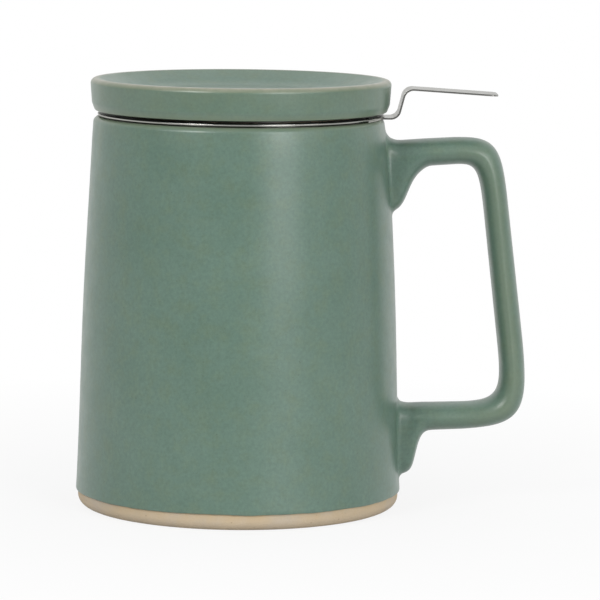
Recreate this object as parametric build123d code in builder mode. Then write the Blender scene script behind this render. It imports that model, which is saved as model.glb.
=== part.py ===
# Lidded stoneware mug with a lift-out steel tea infuser, in millimetres.
# The origin is the middle of the foot on the table, +Z is up and the handle points along +X.
import os
from math import asin, atan, atan2, cos, pi, radians, sin, sqrt, tan

from build123d import *

os.makedirs("parts", exist_ok=True)

# Cup
mug_height = 114.1  # table to the top of the glazed rim
base_radius = 47.6  # widest outside, just above the foot
widest_height = 6.2  # height of that widest circle
rim_radius = 43.05  # outside of the glazed wall at the rim
rim_wall = 4.4  # glazed wall at the rim
base_wall = 4.9  # glazed wall at the floor
floor_wall = 5.8  # glazed floor over the foot recess
foot_recess = 2.2  # hollow under the floor
foot_width = 9.5  # bare ring that the cup stands on, with its rounded edge
foot_round = 2.6
recess_round = 1.4  # corner of that hollow
ring_round = 0.7  # inner edge of the bare ring
rim_round = 1.25
bore_round = 1.0  # inner edge of the rim, in the clay
belly_round = 20.0  # eases the turn from the foot into the tapered wall
well_round = 9.0  # inside corner at the floor
glaze = 0.35  # thickness of the glaze coat
glaze_line = 4.9  # the coat stops this far above the table

# Handle
handle_width = 15.0
handle_round = 2.5  # edges of the strap
handle_drop = 7.0  # rim down to the upper arm
handle_lift = 22.8  # table up to the lower arm
upper_rise = 1.8  # the upper arm climbs this much to its corner
lower_rise = 1.4
under_rise = 0.6  # and its underside climbs this much at the root
upper_swell = 0.7  # the upper arm thickens by this much toward its corner
lower_thin = 0.7  # the lower arm thins by this much toward its corner
upper_reach = 32.4  # wall out to the upper corner
lower_reach = 38.6  # wall out to the lower corner
upper_arm = 6.7
lower_arm = 6.9
upper_grip = 6.1  # grip thickness at its two ends
lower_grip = 6.8
upper_corner = 10.0  # outside corner radii
lower_corner = 11.5
inner_corner = 5.6  # radius inside the finger gap
upper_tail = 14.4  # smeared root below the upper arm, down the wall
upper_tail_out = 8.9  # how far that root stands out under the arm
upper_tail_tip = 3.0  # and near its tip
upper_tail_tip_drop = 12.1
upper_tail_round = 8.0
lower_tail = 14.2  # root below the lower arm
lower_tail_out = 7.4
lower_tail_tip = 4.3
lower_tail_tip_drop = 12.4
lower_tail_round = 3.0
tail_tip_round = 3.4
root_fillet = 3.2  # flare where the roots meet the wall
root_turn = radians(53.0)  # the flare curves this far and then runs straight in
root_steps = (-1 / 7, 1 / 4, 1 / 2, 1)  # heights of its sections, as shares of the flare
root_edge = 0.15  # the flare starts this far under the clay, so its edge isn't a feather
root_sink = 0.3  # and it ends this far inside the strap

# Infuser
sheet = 0.5  # steel thickness of rim, tab, sleeve and base
flange_inset = 1.25  # rim radius in to the hemmed edge of the flange
hem_width = 3.2
hem_bow = 0.95  # rounding of the folded edge, as a share of the sheet
bend_round = 0.8
basket_gap = 4.15  # bore of the cup in to the collar
collar_height = 11.1  # flange top down to the end of the collar
sleeve_drop = 3.6  # flange top down to the top of the sleeve
basket_depth = 79.0  # flange top down to the underside of the base
window_count = 6
window_width = 25.0
window_height = 52.0
window_round = 4.0
window_sill = 9.0  # base up to the windows
gauze_thickness = 0.3
gauze_margin = 4.0  # the gauze laps the sleeve above the windows
base_lip = 4.0
base_bend = 0.7
drain_radius = 0.8
drain_margin = 7.5  # bore of the sleeve in to the outermost ring of drain holes
drain_rings = 5
drain_step = 6  # holes that each ring adds

# Tab of the infuser
tab_width = 13.0
tab_foot = 3.95  # flange edge out to the first bend
tab_lean = 2.15  # outward lean of the riser
tab_rise = 8.6  # height of the riser
tab_length = 26.9  # second bend to the tip
tab_droop = 1.2  # the tip lies lower than the second bend
tab_bend = 1.9
tab_corner = 2.0
root_angle = 27.5  # half the sweep of the crescent root
notch_angle = 31.0  # half the sweep of the notch in the hem
weld_radius = 1.1
weld_height = 0.15
weld_angle = 15.0  # between one weld and the next
weld_count = 4

# Lid
lid_height = 10.15  # flange top to the crest
lid_overhang = 0.57  # rim radius out to the top of the lid
lid_flare = 0.42  # the side leans out by this much on its way up
lid_gap = 0.9  # shadow gap over the flange, outside the seat
lid_edge_round = 1.35  # lower edge, in the clay
lip_round = 1.05  # upper edge, in the clay
lip_width = 2.5
dish_slope = 4.6  # width of the slope inside the lip
dish_depth = 3.3
dish_round = 7.0
lid_web = 4.6  # clay between the dish and the hollow under it
seat_inset = 3.8  # flange edge in to the seat
seat_round = 0.6
spigot_gap = 0.9  # sleeve bore in to the spigot
spigot_drop = 6.0  # seat down to the end of the spigot
spigot_wall = 4.2
spigot_round = 1.2
hollow_round = 2.0  # corner of the hollow inside the spigot
bare_margin = 0.4  # bare clay beside the seat

# Sizes that follow
clay_base = base_radius - glaze
clay_rim = rim_radius - glaze
clay_top = mug_height - glaze
clay_bore = rim_radius - rim_wall + glaze
clay_well = base_radius - base_wall + glaze
clay_floor = foot_recess + floor_wall - glaze
bore_radius = rim_radius - rim_wall
root_depth = rim_wall / 2  # the handle roots reach this far into the wall before they are trimmed
taper = atan2(base_radius - rim_radius, mug_height - widest_height)
flange_top = mug_height + 2 * sheet
flange_edge = rim_radius - flange_inset
hem_inner = flange_edge - hem_width
hem_round = hem_bow * sheet
collar_radius = bore_radius - basket_gap
sleeve_radius = collar_radius - sheet
sleeve_bore = sleeve_radius - sheet
sleeve_top = flange_top - sleeve_drop
base_level = flange_top - basket_depth
drain_pitch = (sleeve_bore - drain_margin) / drain_rings
window_foot = base_level + window_sill
lid_top = flange_top + lid_height
seat_radius = flange_edge - seat_inset
spigot_radius = sleeve_bore - spigot_gap
dish_level = lid_top - glaze - dish_depth


def wall_radius(height):
    """Outside of the glazed wall at a height above the widest circle."""
    climbed = (height - widest_height) / (mug_height - widest_height)
    return base_radius + (rim_radius - base_radius) * climbed


def cup_outline():
    """Half section of the clay cup, from the axis round the foot, wall and well."""
    foot_inner = clay_base - foot_width
    FilletPolyline(
        (0, foot_recess),
        (foot_inner, foot_recess),
        (foot_inner, 0),
        (clay_base, 0),
        (clay_base, widest_height),
        (clay_rim, clay_top),
        (clay_bore, clay_top),
        (clay_well, clay_floor),
        (0, clay_floor),
        radius=[
            0,
            recess_round,
            ring_round,
            foot_round,
            belly_round,
            rim_round,
            bore_round,
            well_round,
            0,
        ],
        close=True,
    )


def buried(tip_out, tip_z, end_z):
    """End of a root's lower edge, which runs on into the wall from its tip."""
    slope = (tip_z - end_z) / tip_out
    return (wall_radius(end_z) - root_depth, end_z - slope * root_depth)


def flare(height, centre):
    """How far the flare of a root stands out at a height off the wall."""
    below = max(centre - height, 0)
    round_end = root_fillet * sin(root_turn)
    if below > round_end:
        return root_fillet * (1 - cos(root_turn)) + (below - round_end) * tan(root_turn)
    return root_fillet - sqrt(root_fillet**2 - below**2)


def root_pad(low, high, tip_slope):
    """Flare of one handle root on the wall; its lower edge climbs outwards by the tip slope."""
    middle = (low + high) / 2
    clay_wall = wall_radius(middle) - glaze
    wall_face = Plane((clay_wall, 0, middle), x_dir=(0, 1, 0), z_dir=(cos(taper), 0, sin(taper)))
    side_turn = asin((handle_width / 2 + root_fillet) / (clay_wall + root_fillet))
    side_centre = (clay_wall + root_fillet) * cos(side_turn) - clay_wall
    side_foot = clay_wall * (cos(side_turn) - 1) - root_edge
    tip_ease = tan((pi / 2 - atan(tip_slope)) / 2)
    with BuildPart() as pad:
        for height in [side_foot] + [step * root_fillet for step in root_steps]:
            sunk = root_sink * max(height, 0) / root_fillet
            beside = flare(height, side_centre) - sunk
            above = flare(height, root_fillet) - sunk
            top = high - middle + above
            bottom = low - middle + tip_slope * max(height, 0) - above * tip_ease
            with BuildSketch(wall_face.offset(height)):
                with Locations((0, (top + bottom) / 2)):
                    RectangleRounded(handle_width + 2 * beside, top - bottom, handle_round + above / 2)
        loft(ruled=True)
    return pad.part


def lid_outline():
    """Half section of the clay lid, from the hollow round the spigot, seat, side, lip and dish."""
    side_low = rim_radius + lid_overhang - lid_flare - glaze
    side_high = rim_radius + lid_overhang - glaze
    underside = flange_top + lid_gap + glaze
    crest = lid_top - glaze
    lip_inner = side_high - lip_width
    spigot_bore = spigot_radius - spigot_wall
    hollow = dish_level - lid_web
    FilletPolyline(
        (0, hollow),
        (spigot_bore, hollow),
        (spigot_bore, flange_top - spigot_drop),
        (spigot_radius, flange_top - spigot_drop),
        (spigot_radius, flange_top),
        (seat_radius, flange_top),
        (seat_radius, underside),
        (side_low, underside),
        (side_high, crest),
        (lip_inner, crest),
        (lip_inner - dish_slope, dish_level),
        (0, dish_level),
        radius=[
            0,
            hollow_round,
            spigot_round,
            spigot_round,
            0,
            seat_round,
            0,
            lid_edge_round,
            lip_round,
            lip_round,
            dish_round,
            0,
        ],
        close=True,
    )


def sector(half_angle):
    """Wedge about +X, wide enough to pass the flange."""
    reach = 2 * flange_edge
    across = reach * sin(radians(half_angle))
    along = reach * cos(radians(half_angle))
    Polyline((0, 0), (along, -across), (along, across), close=True)


# Clay cup, turned from a section on the side away from the handle
turning = Plane((0, 0, 0), x_dir=(-1, 0, 0), z_dir=(0, 1, 0))
with BuildPart() as mug_body:
    with BuildSketch(turning):
        with BuildLine():
            cup_outline()
        make_face()
    revolve(axis=Axis.Z)

# Handle, one strap with smeared and flared roots, trimmed to the clay wall
upper_arm_top = mug_height - handle_drop
upper_x = wall_radius(upper_arm_top) + upper_reach
lower_x = wall_radius(handle_lift) + lower_reach
upper_z = upper_arm_top + upper_rise
lower_z = handle_lift + lower_rise
grip_slope = (lower_x - upper_x) / (upper_z - lower_z)
upper_under = upper_arm_top - upper_arm + under_rise
lower_over = handle_lift + lower_arm
gap_top = upper_z - upper_arm - upper_swell
gap_foot = lower_z + lower_arm - lower_thin
upper_tip_z = upper_under - upper_tail_tip_drop
lower_tip_z = handle_lift - lower_tail_tip_drop
upper_root = upper_under - upper_tail
lower_root = handle_lift - lower_tail
handle_roots = [
    (upper_root, upper_arm_top, (upper_tip_z - upper_root) / upper_tail_tip),
    (lower_root, lower_over, (lower_tip_z - lower_root) / lower_tail_tip),
]
handle_corners = [
    ((wall_radius(upper_arm_top) - root_depth, upper_arm_top), 0),
    ((upper_x, upper_z), upper_corner),
    ((lower_x, lower_z), lower_corner),
    ((wall_radius(handle_lift) + lower_tail_out, handle_lift), lower_tail_round),
    ((wall_radius(lower_tip_z) + lower_tail_tip, lower_tip_z), tail_tip_round),
    (buried(lower_tail_tip, lower_tip_z, lower_root), 0),
    ((wall_radius(lower_over) - root_depth, lower_over), 0),
    ((upper_x + grip_slope * (upper_z - gap_foot) - lower_grip, gap_foot), inner_corner),
    ((upper_x + grip_slope * (upper_z - gap_top) - upper_grip, gap_top), inner_corner),
    ((wall_radius(upper_under) + upper_tail_out, upper_under), upper_tail_round),
    ((wall_radius(upper_tip_z) + upper_tail_tip, upper_tip_z), tail_tip_round),
    (buried(upper_tail_tip, upper_tip_z, upper_root), 0),
]
root_pads = [root_pad(*root) for root in handle_roots]
with BuildPart() as handle:
    with BuildSketch(Plane.XZ):
        with BuildLine():
            FilletPolyline(
                [point for point, corner in handle_corners],
                radius=[corner for point, corner in handle_corners],
                close=True,
            )
        make_face()
    extrude(amount=handle_width / 2, both=True)
    fillet(handle.faces().filter_by(Axis.Y).edges(), handle_round)
    add(root_pads)
    add(mug_body.part, mode=Mode.SUBTRACT)

# Glaze coat, with the handle roots passing through it
with BuildPart() as mug_glaze:
    with BuildSketch(turning):
        with BuildLine():
            cup_outline()
        make_face()
        offset(amount=glaze)
        with BuildLine():
            cup_outline()
        make_face(mode=Mode.SUBTRACT)
        with Locations((0, glaze_line)):
            Rectangle(2 * base_radius, 2 * mug_height, align=(Align.MIN, Align.MIN), mode=Mode.INTERSECT)
    revolve(axis=Axis.Z)
    for pad in root_pads:
        add(pad, mode=Mode.SUBTRACT)

# Infuser rim: collar, flange and the hem folded under its edge, notched for the tab
with BuildPart() as infuser_rim:
    with BuildSketch(Plane.XZ):
        with BuildLine():
            FilletPolyline(
                (sleeve_radius, flange_top - collar_height),
                (collar_radius, flange_top - collar_height),
                (collar_radius, flange_top - sheet),
                (hem_inner, flange_top - sheet),
                (hem_inner, mug_height),
                (flange_edge, mug_height),
                (flange_edge, flange_top),
                (sleeve_radius, flange_top),
                radius=[0, 0, bend_round, 0, sheet / 2, hem_round, hem_round, bend_round + sheet],
                close=True,
            )
        make_face()
    revolve(axis=Axis.Z)
    with BuildSketch(Plane.XY.offset(mug_height)):
        with BuildLine():
            sector(notch_angle)
        make_face()
        Circle((collar_radius + hem_inner) / 2, mode=Mode.SUBTRACT)
    extrude(amount=sheet, mode=Mode.SUBTRACT)

# Tab: crescent root in the notch of the hem, and a strip bent up and out over the handle
tab_level = mug_height + sheet / 2
tab_foot_x = flange_edge + tab_foot
tab_top_x = tab_foot_x + tab_lean
tab_top_z = tab_level + tab_rise
with BuildPart() as infuser_tab:
    with BuildSketch(Plane.XZ):
        with BuildLine():
            FilletPolyline(
                (hem_inner + sheet, tab_level),
                (tab_foot_x, tab_level),
                (tab_top_x, tab_top_z),
                (tab_top_x + tab_length, tab_top_z - tab_droop),
                radius=tab_bend,
            )
        trace(line_width=sheet)
    extrude(amount=tab_width / 2, both=True)
    tip = infuser_tab.faces().sort_by(Axis.X)[-1]
    fillet(tip.edges().sort_by(Axis.Y)[0], tab_corner)
    tip = infuser_tab.faces().sort_by(Axis.X)[-1]
    fillet(tip.edges().sort_by(Axis.Y)[-1], tab_corner)
    with BuildSketch(Plane.XY.offset(mug_height)):
        Circle(flange_edge - sheet)
        Circle(hem_inner, mode=Mode.SUBTRACT)
        with BuildLine():
            sector(root_angle)
        make_face(mode=Mode.INTERSECT)
    extrude(amount=sheet)

# Spot welds in a row over the crescent root
weld_ring = (seat_radius + flange_edge) / 2
weld_sweep = weld_angle * (weld_count - 1)
with BuildPart() as tab_spot_welds:
    with BuildSketch(Plane.XY.offset(flange_top)):
        with PolarLocations(weld_ring, weld_count, -weld_sweep / 2, weld_sweep, endpoint=True):
            Circle(weld_radius)
    extrude(amount=weld_height)

# Sleeve of the basket, a rolled sheet with tall windows
with BuildPart() as window_cut:
    with BuildSketch(Plane.YZ):
        with Locations((0, window_foot + window_height / 2)):
            RectangleRounded(window_width, window_height, window_round)
    extrude(amount=2 * sleeve_radius)

with BuildPart() as infuser_sleeve:
    with BuildSketch(Plane.XY.offset(base_level)):
        Circle(sleeve_radius)
        Circle(sleeve_bore, mode=Mode.SUBTRACT)
    extrude(amount=sleeve_top - base_level)
    with PolarLocations(0, window_count):
        add(window_cut.part, mode=Mode.SUBTRACT)

# Gauze, the fine wire cloth that lines the sleeve between base and collar
gauze_foot = base_level + base_lip
gauze_top = window_foot + window_height + gauze_margin
with BuildPart() as infuser_gauze:
    with BuildSketch(Plane.XY.offset(gauze_foot)):
        Circle(sleeve_bore)
        Circle(sleeve_bore - gauze_thickness, mode=Mode.SUBTRACT)
    extrude(amount=gauze_top - gauze_foot)

# Base of the basket, a pressed pan with drain holes in rings
with BuildPart() as infuser_base:
    with BuildSketch(Plane.XZ):
        with BuildLine():
            FilletPolyline(
                (0, base_level),
                (sleeve_bore, base_level),
                (sleeve_bore, base_level + base_lip),
                (sleeve_bore - sheet, base_level + base_lip),
                (sleeve_bore - sheet, base_level + sheet),
                (0, base_level + sheet),
                radius=[0, base_bend + sheet, 0, 0, base_bend, 0],
                close=True,
            )
        make_face()
    revolve(axis=Axis.Z)
    with BuildSketch(Plane.XY.offset(base_level)):
        Circle(drain_radius)
        for ring in range(1, drain_rings + 1):
            with PolarLocations(ring * drain_pitch, drain_step * ring):
                Circle(drain_radius)
    extrude(amount=sheet, mode=Mode.SUBTRACT)

# Lid, clay first and then its glaze, which leaves the seat, spigot and hollow bare
with BuildPart() as lid:
    with BuildSketch(Plane.XZ):
        with BuildLine():
            lid_outline()
        make_face()
    revolve(axis=Axis.Z)

with BuildPart() as lid_glaze:
    with BuildSketch(Plane.XZ):
        with BuildLine():
            lid_outline()
        make_face()
        offset(amount=glaze)
        with BuildLine():
            lid_outline()
        make_face(mode=Mode.SUBTRACT)
        Rectangle(2 * base_radius, 2 * lid_top, align=(Align.MIN, Align.MIN), mode=Mode.INTERSECT)
        Rectangle(
            seat_radius + bare_margin,
            dish_level - lid_web / 2,
            align=(Align.MIN, Align.MIN),
            mode=Mode.SUBTRACT,
        )
    revolve(axis=Axis.Z)

# Name and write every piece
pieces = {
    "mug_body": mug_body,
    "mug_glaze": mug_glaze,
    "handle": handle,
    "infuser_rim": infuser_rim,
    "infuser_tab": infuser_tab,
    "tab_spot_welds": tab_spot_welds,
    "infuser_sleeve": infuser_sleeve,
    "infuser_gauze": infuser_gauze,
    "infuser_base": infuser_base,
    "lid": lid,
    "lid_glaze": lid_glaze,
}
for name, piece in pieces.items():
    piece.part.label = name
    export_step(piece.part, f"parts/{name}.step")
    print(name, len(piece.part.solids()), "solids", round(piece.part.volume, 1), "mm3")
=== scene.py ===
import math

import bmesh
import bpy
import numpy as np
from mathutils import Matrix, Vector


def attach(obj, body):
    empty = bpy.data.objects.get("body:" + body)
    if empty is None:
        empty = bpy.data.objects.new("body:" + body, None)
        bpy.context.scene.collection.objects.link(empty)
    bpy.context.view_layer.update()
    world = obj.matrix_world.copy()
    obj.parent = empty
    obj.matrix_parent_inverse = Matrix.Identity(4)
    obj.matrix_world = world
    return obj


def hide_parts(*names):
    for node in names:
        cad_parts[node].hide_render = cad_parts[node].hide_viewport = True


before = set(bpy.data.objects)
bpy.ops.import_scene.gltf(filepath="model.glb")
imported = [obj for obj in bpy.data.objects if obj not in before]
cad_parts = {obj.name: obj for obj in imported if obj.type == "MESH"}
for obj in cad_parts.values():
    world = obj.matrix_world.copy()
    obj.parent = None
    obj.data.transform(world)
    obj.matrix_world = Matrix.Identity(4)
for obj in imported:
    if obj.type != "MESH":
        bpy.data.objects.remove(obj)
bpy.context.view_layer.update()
scene = bpy.context.scene
mm = 0.001
print("frame loaded,", len(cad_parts), "CAD nodes")


# Camera, fitted to the photo's frame
cameraSet = {
    "place": (0, -1103.7 * mm, 199.3 * mm),
    "pitch": math.radians(7.174),  # looks down
    "yaw": math.radians(0.923),  # toward the handle
    "roll": math.radians(0.589),
    "sensor": 36.0,
    "lens": 227.46,
}


def addCamera(s):
    ahead = Vector((
        math.sin(s["yaw"]) * math.cos(s["pitch"]),
        math.cos(s["yaw"]) * math.cos(s["pitch"]),
        -math.sin(s["pitch"]),
    ))
    right = Vector((math.cos(s["yaw"]), -math.sin(s["yaw"]), 0))
    up = right.cross(ahead)
    turnedRight = math.cos(s["roll"]) * right + math.sin(s["roll"]) * up
    turnedUp = math.cos(s["roll"]) * up - math.sin(s["roll"]) * right
    data = bpy.data.cameras.new("photoCamera")
    data.sensor_width = s["sensor"]
    data.lens = s["lens"]
    camera = bpy.data.objects.new("photoCamera", data)
    scene.collection.objects.link(camera)
    turned = Matrix((turnedRight, turnedUp, -ahead)).transposed().to_4x4()
    camera.matrix_world = Matrix.Translation(s["place"]) @ turned
    scene.camera = camera


addCamera(cameraSet)


# Node helpers, shared by the shaders and the geometry trees
def addNode(tree, kind, inputs=None, **settings):
    made = tree.nodes.new(kind)
    for key, value in settings.items():
        setattr(made, key, value)
    for key, value in (inputs or {}).items():
        if isinstance(value, bpy.types.NodeSocket):
            tree.links.new(value, made.inputs[key])
        else:
            made.inputs[key].default_value = value
    return made


def calc(tree, operation, *values):
    return addNode(tree, "ShaderNodeMath", dict(enumerate(values)), operation=operation).outputs[0]


def times(tree, first, second):
    return calc(tree, "MULTIPLY", first, second)


def plus(tree, first, second):
    return calc(tree, "ADD", first, second)


def polar(tree, angle, reach, up):
    across = times(tree, calc(tree, "COSINE", angle), reach)
    along = times(tree, calc(tree, "SINE", angle), reach)
    return addNode(tree, "ShaderNodeCombineXYZ", {0: across, 1: along, 2: up}).outputs[0]


def splitIndex(tree, run):
    index = addNode(tree, "GeometryNodeInputIndex").outputs[0]
    line = calc(tree, "FLOOR", calc(tree, "DIVIDE", plus(tree, index, 0.5), run))
    return line, calc(tree, "SUBTRACT", index, times(tree, line, run))


def mapped(tree, value, low, high, toLow=0.0, toHigh=1.0):
    inputs = {"Value": value, "From Min": low, "From Max": high, "To Min": toLow, "To Max": toHigh}
    return addNode(tree, "ShaderNodeMapRange", inputs).outputs["Result"]


def mixed(tree, factor, first, second, blend="MIX"):
    made = addNode(tree, "ShaderNodeMix", data_type="RGBA", blend_type=blend)
    for key, value in ((0, factor), (6, first), (7, second)):
        if isinstance(value, bpy.types.NodeSocket):
            tree.links.new(value, made.inputs[key])
        else:
            made.inputs[key].default_value = value
    return made.outputs[2]


def noise(tree, vector, scale, detail=2.0, rough=0.5):
    inputs = {"Vector": vector, "Scale": scale, "Detail": detail, "Roughness": rough}
    return addNode(tree, "ShaderNodeTexNoise", inputs).outputs["Fac"]


def spread(tree, vector, look, toLow=0.0, toHigh=1.0):
    scale, detail, rough, low, high = look
    return mapped(tree, noise(tree, vector, scale, detail, rough), low, high, toLow, toHigh)


def startMaterial(name):
    material = bpy.data.materials.new(name)
    material.use_nodes = True
    tree = material.node_tree
    shader = tree.nodes["Principled BSDF"]
    place = addNode(tree, "ShaderNodeTexCoord").outputs["Object"]
    return material, tree, shader, place


# Shared by the finishes: dots in some of the cells, and the last links to the shader
def specks(tree, place, scale, rarity, edge, core):
    cells = addNode(tree, "ShaderNodeTexVoronoi", {"Vector": place, "Scale": scale})
    pick = addNode(tree, "ShaderNodeSeparateColor", {0: cells.outputs["Color"]}).outputs[0]
    dot = mapped(tree, cells.outputs["Distance"], edge, core)
    return times(tree, dot, calc(tree, "GREATER_THAN", pick, rarity))


def dress(tree, shader, colour, rough, height, strength, depth):
    bump = addNode(tree, "ShaderNodeBump", {"Height": height, "Strength": strength, "Distance": depth})
    tree.links.new(colour, shader.inputs["Base Color"])
    tree.links.new(rough, shader.inputs["Roughness"])
    tree.links.new(bump.outputs["Normal"], shader.inputs["Normal"])


# Sage glaze: satin, mottled, finely specked, breaking to tan where it runs thin, with painted shade where
# its tone is below nought
glazeLook = {
    "deep": (0.096, 0.16, 0.124, 1),
    "pale": (0.11, 0.177, 0.14, 1),
    "olive": (0.116, 0.166, 0.106, 1),
    "thin": (0.31, 0.295, 0.23, 1),
    # painted shade, used in the gap under the lid
    "gapShade": (0.015, 0.023, 0.017, 1),
    "speck": (0.07, 0.1, 0.074, 1),
    "cloud": (55, 4, 0.6, 0.32, 0.68),  # noise scale, detail, roughness, and the span in use
    "drift": (230, 3, 0.6, 0.45, 0.72),
    "driftShare": 0.5,
    "grain": (950, 3, 0.7, 0.3, 0.7),
    "grainRange": (0.89, 1.11),
    "specks": (520, 0.72, 0.13, 0.05),  # cell scale, rarity, edge and core of a dot
    "speckShare": 0.55,
    "oliveTone": 0.2,  # break tone at which the glaze is all olive
    "ragged": (260, 3, 0.6, 0.25, 0.75),
    "raggedRange": (0.5, 1.15),
    "sheen": (180, 3, 0.6, 0.3, 0.7),
    "satin": (0.29, 0.37),  # roughness range
    "ripple": (900, 3, 0.55),
    "bump": (0.1, 0.05 * mm),  # strength and depth
    "ior": 1.5,
}


def makeGlaze(s):
    material, tree, shader, place = startMaterial("sageGlaze")
    colour = mixed(tree, spread(tree, place, s["cloud"]), s["deep"], s["pale"])
    colour = mixed(tree, spread(tree, place, s["drift"], 0.0, s["driftShare"]), colour, s["olive"])
    grain = spread(tree, place, s["grain"], *s["grainRange"])
    grey = addNode(tree, "ShaderNodeCombineColor", {0: grain, 1: grain, 2: grain}).outputs[0]
    colour = mixed(tree, 1.0, colour, grey, "MULTIPLY")
    dots = times(tree, specks(tree, place, *s["specks"]), s["speckShare"])
    colour = mixed(tree, dots, colour, s["speck"])
    # the tone carries glaze breaking thin, painted shade where it is below nought, and a partly painted
    # highlight on the handle's crown
    breakAndPaintedLight = addNode(tree, "ShaderNodeAttribute", attribute_name="glazeTone").outputs["Fac"]
    colour = mixed(tree, mapped(tree, breakAndPaintedLight, 0, s["oliveTone"]), colour, s["olive"])
    ragged = times(tree, breakAndPaintedLight, spread(tree, place, s["ragged"], *s["raggedRange"]))
    colour = mixed(tree, ragged, colour, s["thin"])
    colour = mixed(tree, times(tree, breakAndPaintedLight, -1), colour, s["gapShade"])  # a tone below nought mixes in painted shade
    rough = spread(tree, place, s["sheen"], *s["satin"])
    dress(tree, shader, colour, rough, noise(tree, place, *s["ripple"]), *s["bump"])
    shader.inputs["IOR"].default_value = s["ior"]
    return material


# Bare stoneware: dry, sandy, stained along the glaze, with fine dark grains and turning lines
clayLook = {
    "sand": (0.43, 0.348, 0.248, 1),
    "cream": (0.51, 0.425, 0.312, 1),
    "iron": (0.27, 0.20, 0.125, 1),
    "stain": (0.49, 0.36, 0.205, 1),
    "ash": (0.45, 0.385, 0.31, 1),
    "cloud": (140, 5, 0.7, 0.3, 0.7),
    "cloudShare": 0.55,
    "grit": (1700, 3, 0.7, 0.3, 0.7),
    "gritShare": 0.45,
    "patch": (75, 4, 0.65),
    "ashSpan": (0.52, 0.36, 0.0, 0.6),  # patch noise from and to, share from and to
    "stainSpan": (0.4, 0.62),
    "stainShare": (0.1, 0.75),
    "glazeLine": 4.9 * mm,  # the stain is strongest this far up, and fades away from it
    "stainDepth": 3.4 * mm,
    "specks": (620, 0.8, 0.2, 0.08),
    "speckShare": 0.5,
    "turning": (40, 40, 2600),  # stretch of the turning lines
    "turningNoise": (1.0, 2, 0.5),
    "turningHeight": 0.5,
    "gritHeight": 0.7,
    "bump": (0.45, 0.08 * mm),
    "dry": (0.78, 0.92),  # roughness range
}


def makeClay(s):
    material, tree, shader, place = startMaterial("bareStoneware")
    cloud, grit = spread(tree, place, s["cloud"]), spread(tree, place, s["grit"])
    tint = plus(tree, times(tree, cloud, s["cloudShare"]), times(tree, grit, s["gritShare"]))
    colour = mixed(tree, tint, s["sand"], s["cream"])
    high = addNode(tree, "ShaderNodeSeparateXYZ", {0: place}).outputs[2]
    below = calc(tree, "ABSOLUTE", calc(tree, "SUBTRACT", high, s["glazeLine"]))
    near = mapped(tree, below, s["stainDepth"], 0, *s["stainShare"])
    patch = noise(tree, place, *s["patch"])
    colour = mixed(tree, mapped(tree, patch, *s["ashSpan"]), colour, s["ash"])
    stain = times(tree, near, mapped(tree, patch, *s["stainSpan"]))
    colour = mixed(tree, stain, colour, s["stain"])
    dots = times(tree, specks(tree, place, *s["specks"]), s["speckShare"])
    colour = mixed(tree, dots, colour, s["iron"])
    stretched = addNode(tree, "ShaderNodeMapping", {"Vector": place, "Scale": s["turning"]}).outputs[0]
    lines = noise(tree, stretched, *s["turningNoise"])
    height = plus(tree, times(tree, grit, s["gritHeight"]), times(tree, lines, s["turningHeight"]))
    dress(tree, shader, colour, mapped(tree, grit, 0, 1, *s["dry"]), height, *s["bump"])
    return material


# Satin steel: rolled sheet with fine brushing round the axis
steelLook = {
    "light": (0.43, 0.428, 0.405, 1),
    "dark": (0.35, 0.348, 0.328, 1),
    "satin": (0.16, 0.27),  # roughness range
    "graze": (0.72, 0.72, 0.7, 1),  # share of the plain sheen at grazing angles
    "brush": (60, 60, 2400),  # stretch of the brushing
    "brushNoise": (1.0, 3, 0.6),
    "brushShare": 0.8,
    "smear": (50, 3, 0.5),
    "smearShare": 0.2,
    "span": (0.3, 0.7),  # of both noises
    "bump": (0.12, 0.02 * mm),
}
gauzeLook = dict(steelLook, satin=(0.26, 0.4), brush=(500, 500, 500))


def makeSteel(name, s):
    material, tree, shader, place = startMaterial(name)
    stretched = addNode(tree, "ShaderNodeMapping", {"Vector": place, "Scale": s["brush"]}).outputs[0]
    lines = noise(tree, stretched, *s["brushNoise"])
    smear = noise(tree, place, *s["smear"])
    colour = mixed(tree, mapped(tree, smear, *s["span"]), s["dark"], s["light"])
    both = plus(tree, times(tree, lines, s["brushShare"]), times(tree, smear, s["smearShare"]))
    rough = mapped(tree, both, *s["span"], *s["satin"])
    dress(tree, shader, colour, rough, lines, *s["bump"])
    shader.inputs["Metallic"].default_value = 1.0
    shader.inputs["Specular Tint"].default_value = s["graze"]
    return material


sageGlaze = makeGlaze(glazeLook)
bareStoneware = makeClay(clayLook)
satinSteel = makeSteel("satinSteel", steelLook)
gauzeSteel = makeSteel("gauzeSteel", gauzeLook)
print("materials made")


# Paths and meshes
def roundedPath(corners, step):
    path = []
    for index, (across, up, radius) in enumerate(corners):
        here = np.array((across, up), float)
        if radius == 0 or index in (0, len(corners) - 1):
            path.append(here)
            continue
        back = np.array(corners[index - 1][:2]) - here
        on = np.array(corners[index + 1][:2]) - here
        back /= np.linalg.norm(back)
        on /= np.linalg.norm(on)
        half = math.acos(float(np.clip(back @ on, -1, 1))) / 2
        middle = (back + on) / np.linalg.norm(back + on)
        centre = here + middle * radius / math.sin(half)
        start = here + back * radius / math.tan(half) - centre
        end = here + on * radius / math.tan(half) - centre
        turn = math.atan2(start[0] * end[1] - start[1] * end[0], float(start @ end))
        count = max(2, math.ceil(abs(turn) / step))
        for k in range(count + 1):
            c, d = math.cos(turn * k / count), math.sin(turn * k / count)
            path.append(centre + np.array((c * start[0] - d * start[1], d * start[0] + c * start[1])))
    return np.array(path)


def splitRuns(path, longest):
    parts = []
    for a, b in zip(path[:-1], path[1:]):
        count = max(1, math.ceil(np.linalg.norm(b - a) / longest))
        parts += [a + (b - a) * k / count for k in range(count)]
    return np.array(parts + [path[-1]])


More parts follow.
